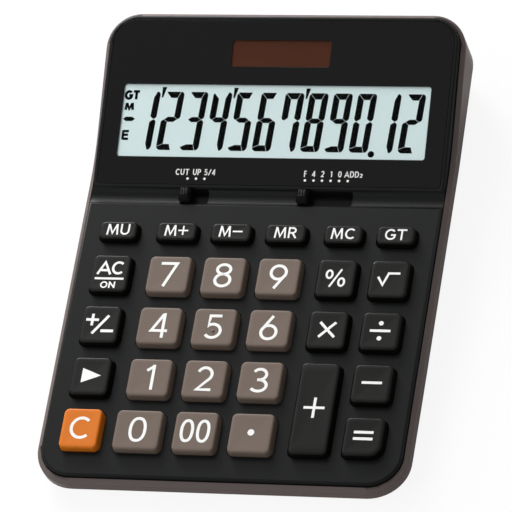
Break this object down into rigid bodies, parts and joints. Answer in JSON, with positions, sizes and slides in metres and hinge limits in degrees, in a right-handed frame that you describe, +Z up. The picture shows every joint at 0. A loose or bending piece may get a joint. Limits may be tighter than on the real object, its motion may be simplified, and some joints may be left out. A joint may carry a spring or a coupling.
{
  "type": "desk calculator",
  "caption": "Wedge-shaped desk calculator with a tilted display and solar window, sprung keys and two slide switches.",
  "frame": {"origin": "middle of the footprint, at the underside of the feet", "axes": "+X to the user's right, +Y from the user towards the display, +Z up"},
  "size_m": [0.129, 0.177, 0.0333],
  "materials": {
    "black_case": "fine moulded grain, low sheen",
    "taupe_case": "fine moulded grain, satin",
    "black_panel": "polished acrylic",
    "display_cell": "reflective pale blue-green display",
    "grey_plastic": "moulded",
    "amber_film": "thin film",
    "solar_glass": "brown cell under glass",
    "wire_jacket": "flexible jacket",
    "grey_silicone": "matt silicone",
    "board_green": "solder mask",
    "black_epoxy": "cast drop",
    "blue_sleeve": "shrink sleeve",
    "screw_steel": "zinc plated",
    "foot_rubber": "matt rubber",
    "cell_steel": "polished can",
    "spring_brass": "rolled strip",
    "black_knob": "moulded",
    "taupe_key": "satin key",
    "black_key": "satin key",
    "orange_key": "satin key"
  },
  "bodies": {
    "housing": {"front_case": "black_case", "rear_case": "taupe_case", "display_panel": "black_panel", "lcd_glass": "display_cell", "lcd_holder": "grey_plastic", "lcd_ribbon": "amber_film", "solar_cell": "solar_glass", "solar_wires": "wire_jacket", "rubber_keypad": "grey_silicone", "main_board": "board_green", "chip_cover": "black_epoxy", "capacitor": "blue_sleeve", "board_screws": "screw_steel", "case_screws": "screw_steel", "rubber_feet": "foot_rubber", "battery_cell": "cell_steel", "battery_contact_positive": "spring_brass", "battery_contact_negative": "spring_brass", "battery_wires": "wire_jacket", "battery_cover": "taupe_case", "battery_cover_screw": "screw_steel"},
    "key_mu": {"key_mu": "black_key"},
    "key_m_plus": {"key_m_plus": "black_key"},
    "key_m_minus": {"key_m_minus": "black_key"},
    "key_mr": {"key_mr": "black_key"},
    "key_mc": {"key_mc": "black_key"},
    "key_gt": {"key_gt": "black_key"},
    "key_ac": {"key_ac": "black_key"},
    "key_7": {"key_7": "taupe_key"},
    "key_8": {"key_8": "taupe_key"},
    "key_9": {"key_9": "taupe_key"},
    "key_percent": {"key_percent": "black_key"},
    "key_root": {"key_root": "black_key"},
    "key_sign": {"key_sign": "black_key"},
    "key_4": {"key_4": "taupe_key"},
    "key_5": {"key_5": "taupe_key"},
    "key_6": {"key_6": "taupe_key"},
    "key_multiply": {"key_multiply": "black_key"},
    "key_divide": {"key_divide": "black_key"},
    "key_right_shift": {"key_right_shift": "black_key"},
    "key_1": {"key_1": "taupe_key"},
    "key_2": {"key_2": "taupe_key"},
    "key_3": {"key_3": "taupe_key"},
    "key_plus": {"key_plus": "black_key"},
    "key_minus": {"key_minus": "black_key"},
    "key_c": {"key_c": "orange_key"},
    "key_0": {"key_0": "taupe_key"},
    "key_00": {"key_00": "taupe_key"},
    "key_point": {"key_point": "taupe_key"},
    "key_equals": {"key_equals": "black_key"},
    "round_switch": {"round_switch_knob": "black_knob", "round_switch_brush": "spring_brass"},
    "decimal_switch": {"decimal_switch_knob": "black_knob", "decimal_switch_brush": "spring_brass"}
  },
  "joints": [
    {"name": "key_mu_press", "type": "slide", "parent": "housing", "child": "key_mu", "axis": [0, 0.061, -0.9981], "range_m": [0, 0.0015], "stiffness_N_per_m": 200, "springref_m": -0.0005, "deforming": ["rubber_keypad"]},
    {"name": "key_m_plus_press", "type": "slide", "parent": "housing", "child": "key_m_plus", "axis": [0, 0.061, -0.9981], "range_m": [0, 0.0015], "stiffness_N_per_m": 200, "springref_m": -0.0005, "deforming": ["rubber_keypad"]},
    {"name": "key_m_minus_press", "type": "slide", "parent": "housing", "child": "key_m_minus", "axis": [0, 0.061, -0.9981], "range_m": [0, 0.0015], "stiffness_N_per_m": 200, "springref_m": -0.0005, "deforming": ["rubber_keypad"]},
    {"name": "key_mr_press", "type": "slide", "parent": "housing", "child": "key_mr", "axis": [0, 0.061, -0.9981], "range_m": [0, 0.0015], "stiffness_N_per_m": 200, "springref_m": -0.0005, "deforming": ["rubber_keypad"]},
    {"name": "key_mc_press", "type": "slide", "parent": "housing", "child": "key_mc", "axis": [0, 0.061, -0.9981], "range_m": [0, 0.0015], "stiffness_N_per_m": 200, "springref_m": -0.0005, "deforming": ["rubber_keypad"]},
    {"name": "key_gt_press", "type": "slide", "parent": "housing", "child": "key_gt", "axis": [0, 0.061, -0.9981], "range_m": [0, 0.0015], "stiffness_N_per_m": 200, "springref_m": -0.0005, "deforming": ["rubber_keypad"]},
    {"name": "key_ac_press", "type": "slide", "parent": "housing", "child": "key_ac", "axis": [0, 0.061, -0.9981], "range_m": [0, 0.0015], "stiffness_N_per_m": 200, "springref_m": -0.0005, "deforming": ["rubber_keypad"]},
    {"name": "key_7_press", "type": "slide", "parent": "housing", "child": "key_7", "axis": [0, 0.061, -0.9981], "range_m": [0, 0.0015], "stiffness_N_per_m": 200, "springref_m": -0.0005, "deforming": ["rubber_keypad"]},
    {"name": "key_8_press", "type": "slide", "parent": "housing", "child": "key_8", "axis": [0, 0.061, -0.9981], "range_m": [0, 0.0015], "stiffness_N_per_m": 200, "springref_m": -0.0005, "deforming": ["rubber_keypad"]},
    {"name": "key_9_press", "type": "slide", "parent": "housing", "child": "key_9", "axis": [0, 0.061, -0.9981], "range_m": [0, 0.0015], "stiffness_N_per_m": 200, "springref_m": -0.0005, "deforming": ["rubber_keypad"]},
    {"name": "key_percent_press", "type": "slide", "parent": "housing", "child": "key_percent", "axis": [0, 0.061, -0.9981], "range_m": [0, 0.0015], "stiffness_N_per_m": 200, "springref_m": -0.0005, "deforming": ["rubber_keypad"]},
    {"name": "key_root_press", "type": "slide", "parent": "housing", "child": "key_root", "axis": [0, 0.061, -0.9981], "range_m": [0, 0.0015], "stiffness_N_per_m": 200, "springref_m": -0.0005, "deforming": ["rubber_keypad"]},
    {"name": "key_sign_press", "type": "slide", "parent": "housing", "child": "key_sign", "axis": [0, 0.061, -0.9981], "range_m": [0, 0.0015], "stiffness_N_per_m": 200, "springref_m": -0.0005, "deforming": ["rubber_keypad"]},
    {"name": "key_4_press", "type": "slide", "parent": "housing", "child": "key_4", "axis": [0, 0.061, -0.9981], "range_m": [0, 0.0015], "stiffness_N_per_m": 200, "springref_m": -0.0005, "deforming": ["rubber_keypad"]},
    {"name": "key_5_press", "type": "slide", "parent": "housing", "child": "key_5", "axis": [0, 0.061, -0.9981], "range_m": [0, 0.0015], "stiffness_N_per_m": 200, "springref_m": -0.0005, "deforming": ["rubber_keypad"]},
    {"name": "key_6_press", "type": "slide", "parent": "housing", "child": "key_6", "axis": [0, 0.061, -0.9981], "range_m": [0, 0.0015], "stiffness_N_per_m": 200, "springref_m": -0.0005, "deforming": ["rubber_keypad"]},
    {"name": "key_multiply_press", "type": "slide", "parent": "housing", "child": "key_multiply", "axis": [0, 0.061, -0.9981], "range_m": [0, 0.0015], "stiffness_N_per_m": 200, "springref_m": -0.0005, "deforming": ["rubber_keypad"]},
    {"name": "key_divide_press", "type": "slide", "parent": "housing", "child": "key_divide", "axis": [0, 0.061, -0.9981], "range_m": [0, 0.0015], "stiffness_N_per_m": 200, "springref_m": -0.0005, "deforming": ["rubber_keypad"]},
    {"name": "key_right_shift_press", "type": "slide", "parent": "housing", "child": "key_right_shift", "axis": [0, 0.061, -0.9981], "range_m": [0, 0.0015], "stiffness_N_per_m": 200, "springref_m": -0.0005, "deforming": ["rubber_keypad"]},
    {"name": "key_1_press", "type": "slide", "parent": "housing", "child": "key_1", "axis": [0, 0.061, -0.9981], "range_m": [0, 0.0015], "stiffness_N_per_m": 200, "springref_m": -0.0005, "deforming": ["rubber_keypad"]},
    {"name": "key_2_press", "type": "slide", "parent": "housing", "child": "key_2", "axis": [0, 0.061, -0.9981], "range_m": [0, 0.0015], "stiffness_N_per_m": 200, "springref_m": -0.0005, "deforming": ["rubber_keypad"]},
    {"name": "key_3_press", "type": "slide", "parent": "housing", "child": "key_3", "axis": [0, 0.061, -0.9981], "range_m": [0, 0.0015], "stiffness_N_per_m": 200, "springref_m": -0.0005, "deforming": ["rubber_keypad"]},
    {"name": "key_plus_press", "type": "slide", "parent": "housing", "child": "key_plus", "axis": [0, 0.061, -0.9981], "range_m": [0, 0.0015], "stiffness_N_per_m": 200, "springref_m": -0.0005, "deforming": ["rubber_keypad"]},
    {"name": "key_minus_press", "type": "slide", "parent": "housing", "child": "key_minus", "axis": [0, 0.061, -0.9981], "range_m": [0, 0.0015], "stiffness_N_per_m": 200, "springref_m": -0.0005, "deforming": ["rubber_keypad"]},
    {"name": "key_c_press", "type": "slide", "parent": "housing", "child": "key_c", "axis": [0, 0.061, -0.9981], "range_m": [0, 0.0015], "stiffness_N_per_m": 200, "springref_m": -0.0005, "deforming": ["rubber_keypad"]},
    {"name": "key_0_press", "type": "slide", "parent": "housing", "child": "key_0", "axis": [0, 0.061, -0.9981], "range_m": [0, 0.0015], "stiffness_N_per_m": 200, "springref_m": -0.0005, "deforming": ["rubber_keypad"]},
    {"name": "key_00_press", "type": "slide", "parent": "housing", "child": "key_00", "axis": [0, 0.061, -0.9981], "range_m": [0, 0.0015], "stiffness_N_per_m": 200, "springref_m": -0.0005, "deforming": ["rubber_keypad"]},
    {"name": "key_point_press", "type": "slide", "parent": "housing", "child": "key_point", "axis": [0, 0.061, -0.9981], "range_m": [0, 0.0015], "stiffness_N_per_m": 200, "springref_m": -0.0005, "deforming": ["rubber_keypad"]},
    {"name": "key_equals_press", "type": "slide", "parent": "housing", "child": "key_equals", "axis": [0, 0.061, -0.9981], "range_m": [0, 0.0015], "stiffness_N_per_m": 200, "springref_m": -0.0005, "deforming": ["rubber_keypad"]},
    {"name": "round_switch_slide", "type": "slide", "parent": "housing", "child": "round_switch", "axis": [1, 0, 0], "range_m": [0, 0.0061]},
    {"name": "decimal_switch_slide", "type": "slide", "parent": "housing", "child": "decimal_switch", "axis": [1, 0, 0], "range_m": [0, 0.01525]}
  ]
}
